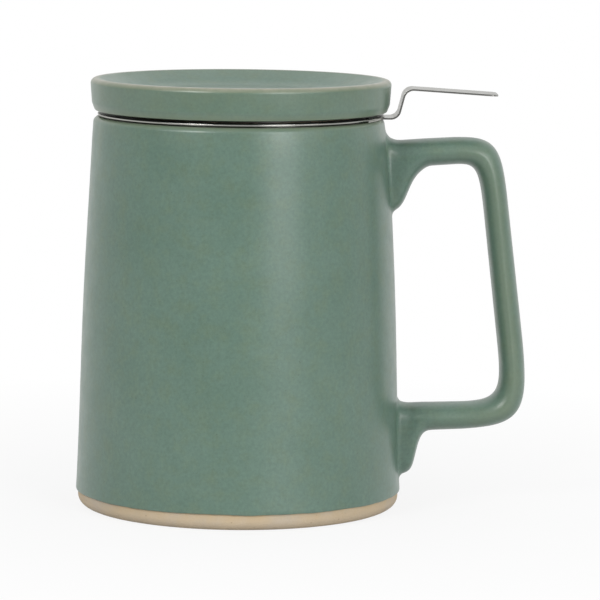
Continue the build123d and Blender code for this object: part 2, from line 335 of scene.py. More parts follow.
def linkMesh(name, mesh, material=None, sharp=None):
    piece = bpy.data.objects.new(name, mesh)
    scene.collection.objects.link(piece)
    if material is not None:
        mesh.materials.append(material)
    if sharp is not None:
        mesh.polygons.foreach_set("use_smooth", [True] * len(mesh.polygons))
        mesh.set_sharp_from_angle(angle=math.radians(sharp))
    return piece


def loftRings(made, rings):
    for a, b in zip(rings[:-1], rings[1:]):
        for k in range(len(a)):
            n = (k + 1) % len(a)
            made.faces.new((a[k], a[n], b[n], b[k]))
    made.faces.new(rings[0][::-1])
    made.faces.new(rings[-1])


def closeMesh(name, made):
    bmesh.ops.recalc_face_normals(made, faces=made.faces)
    mesh = bpy.data.meshes.new(name)
    made.to_mesh(mesh)
    made.free()
    return mesh


def bakeTree(name, mesh, tree, inputs):
    piece = linkMesh(name, mesh)
    modifier = piece.modifiers.new("shape", "NODES")
    modifier.node_group = tree
    for item in tree.interface.items_tree:
        if item.item_type == "SOCKET" and item.in_out == "INPUT" and item.name in inputs:
            modifier[item.identifier] = inputs[item.name]
    made = bpy.data.meshes.new_from_object(piece.evaluated_get(bpy.context.evaluated_depsgraph_get()))
    piece.modifiers.remove(modifier)
    piece.data = made
    made.name = name
    bpy.data.meshes.remove(mesh)
    return piece


def newTree(name, sockets):
    tree = bpy.data.node_groups.new(name, "GeometryNodeTree")
    tree.interface.new_socket("Geometry", in_out="INPUT", socket_type="NodeSocketGeometry")
    for label, kind, value in sockets:
        socket = tree.interface.new_socket(label, in_out="INPUT", socket_type="NodeSocket" + kind)
        if value is not None:
            socket.default_value = value
    tree.interface.new_socket("Geometry", in_out="OUTPUT", socket_type="NodeSocketGeometry")
    return tree, addNode(tree, "NodeGroupInput").outputs, addNode(tree, "NodeGroupOutput")


def endTree(tree, geometry, material, groupOut):
    realized = addNode(tree, "GeometryNodeRealizeInstances", {"Geometry": geometry}).outputs[0]
    painted = addNode(tree, "GeometryNodeSetMaterial", {"Geometry": realized, "Material": material})
    tree.links.new(painted.outputs[0], groupOut.inputs[0])


# Turned piece: a half section in X and Z is thrown round the axis, with a wandering lower glaze edge
turning = {
    "turns": 256,
    "wanderScale": 3.0,
    "wanderNoise": (1.0, 3, 0.55),
    "seamGap": 1e-6,  # closes the seam and the poles
    "sharp": 40,  # degrees, as in the pieces below
}


def makeTurnedTree(s):
    tree, given, groupOut = newTree("turnedPiece", [
        ("Turns", "Int", s["turns"]),
        ("Edge Wander", "Float", 0.0),
        ("Wander Scale", "Float", s["wanderScale"]),
        ("Seed", "Float", 0.0),
        ("Material", "Material", None),
    ])
    section = given["Geometry"]
    size = addNode(tree, "GeometryNodeAttributeDomainSize", {"Geometry": section}, component="MESH")
    across = plus(tree, given["Turns"], 1)
    inputs = {"Vertices X": size.outputs["Point Count"], "Vertices Y": across}
    grid = addNode(tree, "GeometryNodeMeshGrid", inputs).outputs["Mesh"]
    step, turn = splitIndex(tree, across)
    angle = times(tree, calc(tree, "DIVIDE", turn, given["Turns"]), 2 * math.pi)

    def sampled(value, kind="FLOAT"):
        inputs = {"Geometry": section, "Value": value, "Index": step}
        made = addNode(tree, "GeometryNodeSampleIndex", inputs, data_type=kind, domain="POINT")
        return made.outputs[0]

    def named(label):
        made = addNode(tree, "GeometryNodeInputNamedAttribute", {"Name": label}, data_type="FLOAT")
        return made.outputs[0]

    place = sampled(addNode(tree, "GeometryNodeInputPosition").outputs[0], "FLOAT_VECTOR")
    point = addNode(tree, "ShaderNodeSeparateXYZ", {0: place}).outputs
    ring = polar(tree, angle, given["Wander Scale"], given["Seed"])
    sway = calc(tree, "SUBTRACT", noise(tree, ring, *s["wanderNoise"]), 0.5)
    wander = times(tree, sway, given["Edge Wander"])
    up = plus(tree, point[2], times(tree, wander, sampled(named("edgeSlip"))))
    inputs = {"Geometry": grid, "Position": polar(tree, angle, point[0], up)}
    thrown = addNode(tree, "GeometryNodeSetPosition", inputs).outputs[0]
    inputs = {"Geometry": thrown, "Name": "glazeTone", "Value": sampled(named("glazeTone"))}
    toned = addNode(tree, "GeometryNodeStoreNamedAttribute", inputs, data_type="FLOAT", domain="POINT")
    inputs = {"Geometry": toned.outputs[0], "Distance": s["seamGap"]}
    closed = addNode(tree, "GeometryNodeMergeByDistance", inputs).outputs[0]
    outward = addNode(tree, "GeometryNodeFlipFaces", {"Mesh": closed}).outputs[0]
    smooth = addNode(tree, "GeometryNodeSetShadeSmooth", {0: outward}).outputs[0]
    endTree(tree, smooth, given["Material"], groupOut)
    return tree


turnedTree = makeTurnedTree(turning)


def turnPiece(name, path, material, turns, glazeTone=None, edgeSlip=None, wander=0.0, seed=0.0):
    mesh = bpy.data.meshes.new(name + "Section")
    count = len(path)
    mesh.from_pydata([(x, 0, z) for x, z in path], [(k, k + 1) for k in range(count - 1)], [])
    for label, values in (("glazeTone", glazeTone), ("edgeSlip", edgeSlip)):
        values = np.zeros(count) if values is None else np.asarray(values, float)
        mesh.attributes.new(label, "FLOAT", "POINT").data.foreach_set("value", values)
    inputs = {"Turns": turns, "Edge Wander": wander, "Seed": seed, "Material": material}
    piece = bakeTree(name, mesh, turnedTree, inputs)
    piece.data.set_sharp_from_angle(angle=math.radians(turning["sharp"]))
    return piece


# Cup: bare clay inside its glaze coat
cup = {
    "height": 114.1 * mm,
    "baseRadius": 47.6 * mm,
    "widestHeight": 6.2 * mm,
    "rimRadius": 43.05 * mm,
    "rimWall": 4.4 * mm,
    "baseWall": 4.9 * mm,
    "floorTop": 8.0 * mm,
    "footRecess": 2.2 * mm,
    "footWidth": 9.5 * mm,
    "footRound": 3.0 * mm,
    "footInset": 0.15 * mm,  # bare clay shrinks in below the coat
    "recessRound": 1.4 * mm,
    "ringRound": 0.7 * mm,
    "rimRound": 1.6 * mm,
    "boreRound": 1.35 * mm,
    "bellyRound": 20 * mm,
    "wellRound": 8.65 * mm,
    "glaze": 0.35 * mm,
    "glazeLine": 4.9 * mm,
    "claySet": 1.04,  # clay stands a hair under the coat, in coats
    "lipBead": 0.1 * mm,  # the coat swells a little at its lower edge
    "beadSpread": 1.2 * mm,
    "lipDrop": 0.16 * mm,
    "lipPoints": 6,
    "swell": 0.44 * mm,  # the wall bows out between these heights
    "swellFoot": 12 * mm,
    "swellTop": 112 * mm,
    "brow": 0.22 * mm,  # and leans in over this depth below the rim
    "browDepth": 7 * mm,
    "lean": 1.2 * mm,  # the rim is drawn in over the handle, from this far down
    "leanDepth": 16 * mm,
    "leanFocus": 4,  # the higher, the nearer to the handle
    "lineWander": 1.0 * mm,
    "lineSeed": 4.0,
    "slipDepth": 2.5 * mm,  # the wander dies out over this height
    "breakDepth": 1.1 * mm,  # glaze runs thin this far down from the rim
    "glazeTone": 0.16,
    "paleDepth": 5 * mm,  # and a little paler this far
    "paleTone": 0.03,
    "wallStep": 0.1,  # turn of one step in a round, and longest run between points
    "wallRun": 5 * mm,
    "wellStep": 0.14,
    "wellRun": 8 * mm,
    "footStep": 0.16,
    "turns": 288,
}


def wallSwell(z):
    share = np.clip((z - cup["swellFoot"]) / (cup["swellTop"] - cup["swellFoot"]), 0, 1)
    brow = np.clip(1 - (cup["height"] - z) / cup["browDepth"], 0, 1)
    return cup["swell"] * np.sin(math.pi * share) ** 2 - cup["brow"] * brow**2


def wallRadius(z):
    climbed = (z - cup["widestHeight"]) / (cup["height"] - cup["widestHeight"])
    return cup["baseRadius"] + (cup["rimRadius"] - cup["baseRadius"]) * climbed + wallSwell(z)


def handleWall(z):
    climb = np.clip(1 - (cup["height"] - z) / cup["leanDepth"], 0, 1)
    return wallRadius(z) - cup["lean"] * climb


def drawInRim(s, piece):
    spots = np.empty(len(piece.data.vertices) * 3)
    piece.data.vertices.foreach_get("co", spots)
    spots = spots.reshape(-1, 3)
    radius = np.maximum(np.hypot(spots[:, 0], spots[:, 1]), 1e-9)  # never nought on the axis
    climb = np.clip(1 - (s["height"] - spots[:, 2]) / s["leanDepth"], 0, 1)
    outside = np.clip(1 - (s["rimRadius"] - radius) / s["rimWall"], 0, 1)
    toward = np.clip(spots[:, 0] / radius, 0, 1) ** s["leanFocus"]
    spots[:, :2] *= (1 - s["lean"] * climb * outside * toward / radius)[:, None]
    piece.data.vertices.foreach_set("co", spots.ravel())
    piece.data.update()


def cupPath(s, inset):
    top = s["height"] - inset
    outside = splitRuns(roundedPath([
        (s["baseRadius"] - inset, s["glazeLine"], 0),
        (s["baseRadius"] - inset, s["widestHeight"], s["bellyRound"] - inset),
        (s["rimRadius"] - inset, top, s["rimRound"] - inset),
        (s["rimRadius"] - s["rimWall"] / 2, top, 0),
    ], s["wallStep"]), s["wallRun"])
    outside[:, 0] += wallSwell(outside[:, 1])
    inside = splitRuns(roundedPath([
        (s["rimRadius"] - s["rimWall"] / 2, top, 0),
        (s["rimRadius"] - s["rimWall"] + inset, top, s["boreRound"] - inset),
        (s["baseRadius"] - s["baseWall"] + inset, s["floorTop"] - inset, s["wellRound"] + inset),
        (0, s["floorTop"] - inset, 0),
    ], s["wellStep"]), s["wellRun"])
    return outside, inside


def buildCup(s):
    outside, inside = cupPath(s, s["glaze"] * s["claySet"])
    clay = s["baseRadius"] - s["glaze"] - s["footInset"]
    foot = roundedPath([
        (0, s["footRecess"], 0),
        (clay - s["footWidth"], s["footRecess"], s["recessRound"]),
        (clay - s["footWidth"], 0, s["ringRound"]),
        (clay, 0, s["footRound"]),
        (clay, s["glazeLine"], 0),
    ], s["footStep"])
    body = turnPiece("cupClay", np.vstack((foot, outside, inside[1:])), bareStoneware, s["turns"])
    drawInRim(s, body)
    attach(body, "mug")
    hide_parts("mug_body")

    outside, inside = cupPath(s, 0)
    above = outside[:, 1] - s["glazeLine"]
    outside[:, 0] += s["lipBead"] * np.exp(-((above / s["beadSpread"]) ** 2))
    backOutside, backInside = cupPath(s, s["glaze"])
    skin = np.vstack((outside, inside[1:], backInside[::-1], backOutside[::-1]))
    edge = outside[0]
    lip = []
    for t in np.linspace(math.pi, 0, s["lipPoints"] + 1)[1:]:
        share = 0.5 - 0.5 * math.cos(t)
        lip.append(edge + (backOutside[0] - edge) * share - np.array((0, s["lipDrop"] * math.sin(t))))
    path = np.vstack((skin, lip))
    depth = s["height"] - path[:, 1]
    tone = s["glazeTone"] * np.clip(1 - depth / s["breakDepth"], 0, 1)
    tone += s["paleTone"] * np.clip(1 - depth / s["paleDepth"], 0, 1)
    slip = np.clip(1 - (path[:, 1] - s["glazeLine"]) / s["slipDepth"], 0, 1)
    coat = turnPiece("cupGlaze", path, sageGlaze, s["turns"], tone, slip, s["lineWander"], s["lineSeed"])
    drawInRim(s, coat)
    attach(coat, "mug")
    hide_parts("mug_glaze")


buildCup(cup)
print("cup and glaze coat turned")


# Handle: one strap lofted from loops that lie on the wall at its roots and cross the strap elsewhere
strap = {
    "width": 15 * mm,
    "edgeRound": 3.6 * mm,
    "oval": 0.9,  # share of an oval in the section, along the strap and at the wall
    "rootOval": 0.35,
    "rootRound": 1.3 * mm,  # fillet to the wall
    "rootCorner": 2.4 * mm,  # added to the loop's corners at the wall
    "rootOut": 11.5 * mm,  # the root's loops reach this far off the wall
    "rootStep": 0.05,
    "filletLoops": 6,
    "outLoops": 7,
    "bedDepth": 0.12 * mm,  # two more loops lie under the wall, and spread
    "bedSpread": 0.7 * mm,
    "buried": 0.9 * mm,
    "buriedSpread": 0.98 * mm,
    # outlines of the roots: off the wall and up, with corner radius, in mm
    "upperTop": [(0, 120, 0), (0, 107.45, 3.2), (20, 108.86, 0)],
    "upperTail": [(0, 70, 0), (0, 86.4, 2.2), (3.3, 88.75, 3.4), (8.55, 101.05, 11.0), (20, 101.2, 0)],
    "lowerTop": [(0, 45, 0), (0, 30.1, 2.4), (20, 30.65, 0)],
    "lowerTail": [(0, 0, 0), (0, 8.95, 2.0), (3.95, 10.05, 3.0), (6.5, 22.15, 3.8), (20, 22.62, 0)],
    "outerUpper": (75.92, 109.5, 13.2, 16.2),  # corners of the outline in mm: across, up,
    "outerLower": (86.5, 23.62, 24.2, 19.8),  # and how far the curve reaches back and on
    "innerUpper": (69.6, 101.28, 5.8, 13.1),
    "innerLower": (77.92, 30.92, 14.8, 11.6),
    "fullness": 1.64,  # of the curve in its corner
    "armLoops": 4,
    "cornerLoops": 9,
    "gripLoops": 12,
    "roundPoints": 6,
    "flatPoints": 3,
    "cornerLimit": 0.96,  # of the half thickness
    "smoothLevels": 2,
    "sharp": 60,
    "gripTone": 0.02,  # glaze runs a little thin over the grip; along its crown the tone is partly thin glaze and partly a painted highlight
    "crownThinAndHighlight": 0.09,
    "crownWidth": 0.9 * mm,
    "crownFrom": 52 * mm,
    "crownTo": 78 * mm,
}


def rootLoops(s, topCorners, tailCorners):
    top = roundedPath(topCorners, s["rootStep"]) * mm
    tail = roundedPath(tailCorners, s["rootStep"]) * mm

    def heightAt(path, out):
        return float(np.interp(out, path[1:, 0], path[1:, 1]))

    turns = [math.radians(90 * k / s["filletLoops"]) for k in range(s["filletLoops"] + 1)]
    heights = [s["rootRound"] * (1 - math.cos(t)) for t in turns]
    sides = [s["rootRound"] * (1 - math.sin(t)) for t in turns]
    further = np.linspace(s["rootRound"], s["rootOut"], s["outLoops"] + 1)[1:]
    heights += list(further)
    sides += [0.0] * len(further)
    loops = []
    for h, beside in zip(heights, sides):
        high, low = heightAt(top, h), heightAt(tail, h)
        share = min(h / s["rootOut"], 1)
        share *= share * (3 - 2 * share)
        loops.append({
            "outer": (handleWall(high) + h, high),
            "inner": (handleWall(low) + h, low),
            "half": s["width"] / 2 + beside,
            "round": s["edgeRound"] + s["rootCorner"] * beside / s["rootRound"],
            "wrap": 1 - share,
            "oval": s["rootOval"] + (s["oval"] - s["rootOval"]) * share,
        })
    first = loops[0]
    rise = 1 if first["outer"][1] > first["inner"][1] else -1
    for depth, grow in ((s["bedDepth"], s["bedSpread"]), (s["buried"], s["buriedSpread"])):
        loops.insert(0, {
            "outer": (first["outer"][0] - depth, first["outer"][1] + rise * grow),
            "inner": (first["inner"][0] - depth, first["inner"][1] - rise * grow),
            "half": first["half"] + grow,
            "round": first["round"] + grow,
            "wrap": 1,
            "oval": s["rootOval"],
        })
    return loops


def strapLoops(s):
    upper = rootLoops(s, s["upperTop"], s["upperTail"])
    lower = rootLoops(s, s["lowerTop"], s["lowerTail"])
    for loop in lower:  # the grip's outside runs on under the lower arm
        loop["outer"], loop["inner"] = loop["inner"], loop["outer"]
    startOut, endOut = [np.array(loop["outer"]) / mm for loop in (upper[-1], lower[-1])]
    startIn, endIn = [np.array(loop["inner"]) / mm for loop in (upper[-1], lower[-1])]

    def arcs(start, first, second, end):
        corners = [np.array(corner[:2]) for corner in (start, first, second, end)]
        t = np.linspace(0, 1, s["cornerLoops"])[:, None]
        weights = (1 - t) ** 2, 2 * s["fullness"] * t * (1 - t), t**2
        path = []
        for index, (backReach, onReach) in ((1, first[2:]), (2, second[2:])):
            here = corners[index]
            back, on = corners[index - 1] - here, corners[index + 1] - here
            back *= backReach / np.linalg.norm(back)
            on *= onReach / np.linalg.norm(on)
            path.append(here + (weights[0] * back + weights[2] * on) / sum(weights))
        return path

    outUp, outLow = arcs(startOut, s["outerUpper"], s["outerLower"], endOut)
    inUp, inLow = arcs(startIn, s["innerUpper"], s["innerLower"], endIn)

    def between(a, b, count):
        return [a + (b - a) * k / (count + 1) for k in range(1, count + 1)]

    outer = between(startOut, outUp[0], s["armLoops"]) + list(outUp)
    inner = between(startIn, inUp[0], s["armLoops"]) + list(inUp)
    outer += between(outUp[-1], outLow[0], s["gripLoops"]) + list(outLow)
    inner += between(inUp[-1], inLow[0], s["gripLoops"]) + list(inLow)
    outer += between(outLow[-1], endOut, s["armLoops"])
    inner += between(inLow[-1], endIn, s["armLoops"])
    plain = {"half": s["width"] / 2, "round": s["edgeRound"], "wrap": 0, "oval": s["oval"]}
    middle = [{"outer": a * mm, "inner": b * mm, **plain} for a, b in zip(outer, inner)]
    return upper + middle + lower[::-1]


def loopPoints(s, loop):
    outer, inner = np.array(loop["outer"]), np.array(loop["inner"])
    thick = np.linalg.norm(outer - inner) / 2
    along = (outer - inner) / (2 * thick)
    middle = (outer + inner) / 2
    corner = min(loop["round"], s["cornerLimit"] * thick, s["cornerLimit"] * loop["half"])
    flat = []
    signs = ((1, 1), (-1, 1), (-1, -1), (1, -1))
    for quarter, (u, v) in enumerate(signs):
        centre = np.array((u * (thick - corner), v * (loop["half"] - corner)))
        for k in range(s["roundPoints"]):
            t = math.pi / 2 * (quarter + k / (s["roundPoints"] - 1))
            flat.append(centre + corner * np.array((math.cos(t), math.sin(t))))
        nextU, nextV = signs[(quarter + 1) % 4]
        after = np.array((nextU * (thick - corner), nextV * (loop["half"] - corner)))
        t = math.pi / 2 * (quarter + 1)
        begin, end = flat[-1], after + corner * np.array((math.cos(t), math.sin(t)))
        flat += [begin + (end - begin) * k / (s["flatPoints"] + 1) for k in range(1, s["flatPoints"] + 1)]
    points = []
    for u, v in flat:
        reach = math.hypot(u / thick, v / loop["half"])
        u, v = np.array((u, v)) * (1 - loop["oval"] + loop["oval"] / reach)
        x, z = middle + along * u
        bend = wallRadius(z) - math.sqrt(wallRadius(z) ** 2 - v * v)
        points.append((x - loop["wrap"] * bend, v, z))
    return points


def buildHandle(s):
    made = bmesh.new()
    tone = made.verts.layers.float.new("glazeTone")
    rings = []
    for loop in strapLoops(s):
        rings.append([made.verts.new(p) for p in loopPoints(s, loop)])
        for vert in rings[-1]:
            short = (loop["half"] - abs(vert.co.y)) / s["crownWidth"]
            out = np.clip((vert.co.x - s["crownFrom"]) / (s["crownTo"] - s["crownFrom"]), 0, 1)
            # the crown line is partly thin glaze and partly a painted highlight
            vert[tone] = out * (s["gripTone"] + s["crownThinAndHighlight"] * math.exp(-short * short))
    loftRings(made, rings)
    piece = linkMesh("strapHandle", closeMesh("strapHandle", made), sageGlaze, s["sharp"])
    smooth = piece.modifiers.new("smooth", "SUBSURF")
    smooth.levels = smooth.render_levels = s["smoothLevels"]
    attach(piece, "mug")
    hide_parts("handle")


buildHandle(strap)
print("handle lofted")


# Lid: dished clay disc with a spigot, glazed over the top and side
lid = {
    "foot": 115.1 * mm,  # seat on the flange
    "top": 125.25 * mm,
    "radius": 43.9 * mm,
    "flare": 0.5 * mm,
    "gap": 0.9 * mm,
    "edgeRound": 0.55 * mm,
    "bevelIn": 0.85 * mm,
    "bevelUp": 2.2 * mm,
    "bevelRound": 3.0 * mm,
    "lipRound": 1.5 * mm,
    "lipWidth": 2.7 * mm,
    "dishSlope": 8.6 * mm,
    "dishDepth": 4.2 * mm,
    "dishRound": 16 * mm,
    "glaze": 0.35 * mm,
    "claySet": 1.04,
    "seatRadius": 36.0 * mm,
    "bareMargin": 0.12 * mm,  # bare clay below the coat at the seat
    "seatRound": 0.1 * mm,
    "spigotRadius": 32.6 * mm,
    "spigotWall": 4.2 * mm,
    "spigotDrop": 6 * mm,
    "spigotRound": 1.2 * mm,
    "spigotRoot": 0.3 * mm,
    "hollow": 117.0 * mm,
    "hollowRound": 2 * mm,
    "breakWidth": 0.9 * mm,  # glaze runs thin over the crest, and this far down its side
    "breakDepth": 1.25 * mm,
    "glazeTone": 0.85,
    "hemSpread": 1.2 * mm,  # and a little thin round the lower edge and down the side
    "hemTone": 0.15,
    "sideTone": 0.07,
    "gapShadeTone": 1.0,  # painted shade on the lid's underside and round the seat, standing for the gap's shade
    "topStep": 0.1,
    "topRun": 6 * mm,
    "bareStep": 0.16,
    "turns": 256,
}


def lidTopPath(s, inset):
    edge = s["radius"] - inset
    lip = s["radius"] - s["lipWidth"]
    dish = s["top"] - s["dishDepth"] - inset
    seat = s["seatRadius"] + s["glaze"] - inset
    return splitRuns(roundedPath([
        (seat, s["foot"] + s["bareMargin"], 0),
        (seat, s["foot"] + s["gap"] + inset, s["seatRound"] + inset),
        (edge - s["flare"] - s["bevelIn"], s["foot"] + s["gap"] + inset, s["edgeRound"] - inset),
        (edge - s["flare"], s["foot"] + s["gap"] + s["bevelUp"], s["bevelRound"]),
        (edge, s["top"] - inset, s["lipRound"] - inset),
        (lip, s["top"] - inset, s["lipRound"] - inset),
        (lip - s["dishSlope"], dish, s["dishRound"]),
        (0, dish, 0),
    ], s["topStep"]), s["topRun"])


def buildLid(s):
    under = lidTopPath(s, s["glaze"] * s["claySet"])
    bore = s["spigotRadius"] - s["spigotWall"]
    tip = s["foot"] - s["spigotDrop"]
    bare = roundedPath([
        (0, s["hollow"], 0),
        (bore, s["hollow"], s["hollowRound"]),
        (bore, tip, s["spigotRound"]),
        (s["spigotRadius"], tip, s["spigotRound"]),
        (s["spigotRadius"], s["foot"], s["spigotRoot"]),
        (s["seatRadius"], s["foot"], s["seatRound"]),
        (s["seatRadius"], under[0][1], 0),
    ], s["bareStep"])[:-1]
    clay = turnPiece("lidClay", np.vstack((bare, under)), bareStoneware, s["turns"])
    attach(clay, "lid")
    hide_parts("lid")

    skin, back = lidTopPath(s, 0), lidTopPath(s, s["glaze"])
    path = np.vstack((skin, back[::-1], skin[:1]))
    crest = s["radius"] - s["lipRound"]
    inside = np.exp(-((np.clip(crest - path[:, 0], 0, 1) / s["breakWidth"]) ** 2))
    ridge = inside * np.clip(1 - (s["top"] - path[:, 1]) / s["breakDepth"], 0, 1)
    low = np.array((s["radius"] - s["flare"] - s["bevelIn"], s["foot"] + s["gap"]))
    hem = np.exp(-((np.linalg.norm(path - low, axis=1) / s["hemSpread"]) ** 2))
    side = np.clip(1 - (s["radius"] - path[:, 0]) / (2 * s["flare"]), 0, 1)
    tone = np.clip(s["glazeTone"] * ridge + s["hemTone"] * hem + s["sideTone"] * side, 0, 1)
    # painted shade: the coat under the lid's overhang and round its seat is darkened to stand for the
    # gap's shade
    gapShadeMask = (path[:, 1] < s["foot"] + s["gap"] + s["glaze"]) & (path[:, 0] < low[0] - s["edgeRound"])
    tone[gapShadeMask] = -s["gapShadeTone"]
    coat = turnPiece("lidGlaze", path, sageGlaze, s["turns"], tone)
    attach(coat, "lid")
    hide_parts("lid_glaze")


buildLid(lid)
print("lid turned")


# Infuser rim: collar and flange, with a hem folded under the edge except at the tab
rim = {
    "sheet": 0.5 * mm,
    "top": 115.1 * mm,
    "edge": 41.8 * mm,
    "hemWidth": 3.2 * mm,
    "edgeBow": 0.22 * mm,  # rounding of the flange edge
    "edgeLean": 0.13 * mm,  # it leans in to its lower side
    "hemBack": 2.2 * mm,  # the hem under it stands back from the edge
    "collarBore": 34.0 * mm,
    "collarFoot": 104.0 * mm,
    "bend": 0.8 * mm,
    "hemRound": 0.2 * mm,
    "foldRound": 0.1 * mm,
    "edgeFoot": 0.07 * mm,
    "plainFoot": 0.2 * mm,  # the edge without a hem
    "plainBow": 0.28 * mm,
    "arcStep": 0.2,
    "sharp": 35,
    "notch": math.radians(31),
    "turns": 240,
}


def sweepRing(made, path, start, sweep, count):
    rings = []
    for k in range(count + 1):
        a = start + sweep * k / count
        rings.append([made.verts.new((x * math.cos(a), x * math.sin(a), z)) for x, z in path])
    for a, b in zip(rings[:-1], rings[1:]):
        for k in range(len(path)):
            n = (k + 1) % len(path)
            made.faces.new((a[k], b[k], b[n], a[n]))
    made.faces.new(rings[0])
    made.faces.new(rings[-1][::-1])


def buildRim(s):
    low = s["top"] - s["sheet"]
    foot = low - s["sheet"]
    collar = s["collarBore"] + s["sheet"]
    start = [(s["collarBore"], s["collarFoot"], 0), (collar, s["collarFoot"], 0), (collar, low, s["bend"])]
    end = [(s["collarBore"], s["top"], s["bend"] + s["sheet"]), (s["collarBore"], s["collarFoot"], 0)]
    hemInner = s["edge"] - s["hemWidth"]
    hemmed = roundedPath(start + [
        (hemInner, low, 0),
        (hemInner, foot, s["hemRound"]),
        (s["edge"] - s["hemBack"], foot, s["hemRound"]),
        (s["edge"] - s["hemBack"], low, s["foldRound"]),
        (s["edge"] - s["edgeLean"], low, s["edgeFoot"]),
        (s["edge"], s["top"], s["edgeBow"]),
    ] + end, s["arcStep"])[:-1]
    plain = roundedPath(start + [
        (s["edge"], low, s["plainFoot"]),
        (s["edge"], s["top"], s["plainBow"]),
    ] + end, s["arcStep"])[:-1]
    made = bmesh.new()
    share = s["notch"] / math.pi
    sweepRing(made, hemmed, s["notch"], 2 * math.pi - 2 * s["notch"], round(s["turns"] * (1 - share)))
    sweepRing(made, plain, -s["notch"], 2 * s["notch"], round(s["turns"] * share))
    piece = linkMesh("infuserRim", closeMesh("infuserRim", made), satinSteel, s["sharp"])
    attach(piece, "infuser")
    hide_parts("infuser_rim")


buildRim(rim)


# Lifting tab: crescent root under the flange and a strip bent up and out
tab = {
    "sheet": 0.5 * mm,
    "width": 13 * mm,
    # across and up, with corner radius, in mm
    "line": [(39.1, 114.35, 0), (45.65, 114.35, 2.8), (47.9, 122.95, 2.9), (74.7, 121.28, 0)],
    "arcStep": 0.12,
    "run": 2 * mm,
    "probe": 0.05 * mm,  # the strip's direction is read this far to both sides
    "tipRound": 2.0 * mm,
    "tipSteps": 8,
    "tipClear": 0.2 * mm,
    "rootInner": 38.6 * mm,
    "rootOuter": 41.3 * mm,
    "rootTurn": math.radians(27.5),
    "rootSteps": 40,
    "rootFoot": 114.1 * mm,
    "rootClear": 0.01 * mm,  # keeps the root off the flange and the cup
    "edgeBevel": 0.07 * mm,
    "bevelSteps": 2,
    "bevelFrom": math.radians(50),
    "sharp": 40,
}


def buildTab(s):
    line = splitRuns(roundedPath(s["line"], s["arcStep"]) * mm, s["run"])
    length = np.concatenate(([0], np.cumsum(np.linalg.norm(np.diff(line, axis=0), axis=1))))
    tipTurns = np.linspace(math.pi / 2, 0, s["tipSteps"])
    inTips = [length[-1] - s["tipRound"] * (1 - math.cos(t)) for t in tipTurns]
    plain = length[length < length[-1] - s["tipRound"] - s["tipClear"]]

    def spotAt(at):
        return np.array([np.interp(at, length, line[:, k]) for k in (0, 1)])

    made = bmesh.new()
    rings = []
    for at in sorted(set([*plain, *inTips])):
        ahead = spotAt(at + s["probe"]) - spotAt(at - s["probe"])
        ahead /= np.linalg.norm(ahead)
        over = np.array((-ahead[1], ahead[0])) * s["sheet"] / 2
        inTip = max(s["tipRound"] - (length[-1] - at), 0)
        half = s["width"] / 2 - s["tipRound"] + math.sqrt(max(s["tipRound"] ** 2 - inTip**2, 0))
        upper, under = spotAt(at) + over, spotAt(at) - over
        corners = ((upper, half), (upper, -half), (under, -half), (under, half))
        rings.append([made.verts.new((x, y, z)) for (x, z), y in corners])
    loftRings(made, rings)
    inner, outer = s["rootInner"], s["rootOuter"]
    low = s["rootFoot"] + s["rootClear"]
    high = low + s["sheet"] - 2 * s["rootClear"]
    root = [(inner, low), (outer, low), (outer, high), (inner, high)]
    sweepRing(made, root, -s["rootTurn"], 2 * s["rootTurn"], s["rootSteps"])
    piece = linkMesh("liftTab", closeMesh("liftTab", made), satinSteel, s["sharp"])
    bevel = piece.modifiers.new("edge", "BEVEL")
    bevel.width = s["edgeBevel"]
    bevel.segments = s["bevelSteps"]
    bevel.limit_method = "ANGLE"
    bevel.angle_limit = s["bevelFrom"]
    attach(piece, "infuser")
    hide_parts("infuser_tab")


buildTab(tab)
print("infuser rim and tab made")


# Spot welds in a row over the tab's root
welds = {
    "ring": 39.9 * mm,
    "level": 115.1 * mm,
    "radius": 1.1 * mm,
    "height": 0.15 * mm,
    "count": 4,
    "pitch": math.radians(15),
    "segments": 20,
    "rings": 8,
}


def buildWelds(s):
    sizes = [
        ("Count", "Int", s["count"]),
        ("Ring", "Float", s["ring"]),
        ("Level", "Float", s["level"]),
        ("Pitch", "Float", s["pitch"]),
        ("Radius", "Float", s["radius"]),
        ("Height", "Float", s["height"]),
        ("Material", "Material", satinSteel),
    ]
    tree, given, groupOut = newTree("weldRow", sizes)
    index = addNode(tree, "GeometryNodeInputIndex").outputs[0]
    half = times(tree, calc(tree, "SUBTRACT", given["Count"], 1), 0.5)
    angle = times(tree, calc(tree, "SUBTRACT", index, half), given["Pitch"])
    spot = polar(tree, angle, given["Ring"], given["Level"])
    points = addNode(tree, "GeometryNodePoints", {"Count": given["Count"], "Position": spot}).outputs[0]
    inputs = {"Segments": s["segments"], "Rings": s["rings"], "Radius": 1.0}
    dome = addNode(tree, "GeometryNodeMeshUVSphere", inputs).outputs[0]
    inputs = {0: given["Radius"], 1: given["Radius"], 2: given["Height"]}
    flat = addNode(tree, "ShaderNodeCombineXYZ", inputs).outputs[0]
    inputs = {"Points": points, "Instance": dome, "Scale": flat}
    placed = addNode(tree, "GeometryNodeInstanceOnPoints", inputs).outputs[0]
    smooth = addNode(tree, "GeometryNodeSetShadeSmooth", {0: placed}).outputs[0]
    endTree(tree, smooth, given["Material"], groupOut)
    start = bpy.data.meshes.new("weldStart")
    piece = bakeTree("tabWelds", start, tree, {label: value for label, kind, value in sizes})
    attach(piece, "infuser")
    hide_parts("tab_spot_welds")


buildWelds(welds)


# Gauze: plain-woven wire cloth rolled inside the sleeve
gauze = {
    "radius": 33.34 * mm,
    "foot": 40.1 * mm,
    "top": 101.1 * mm,
    "warps": 150,
    "wefts": 44,
    "wire": 0.1 * mm,  # wire radius
    "wireSides": 3,
    "weave": 0.055 * mm,  # in and out of the cylinder
}


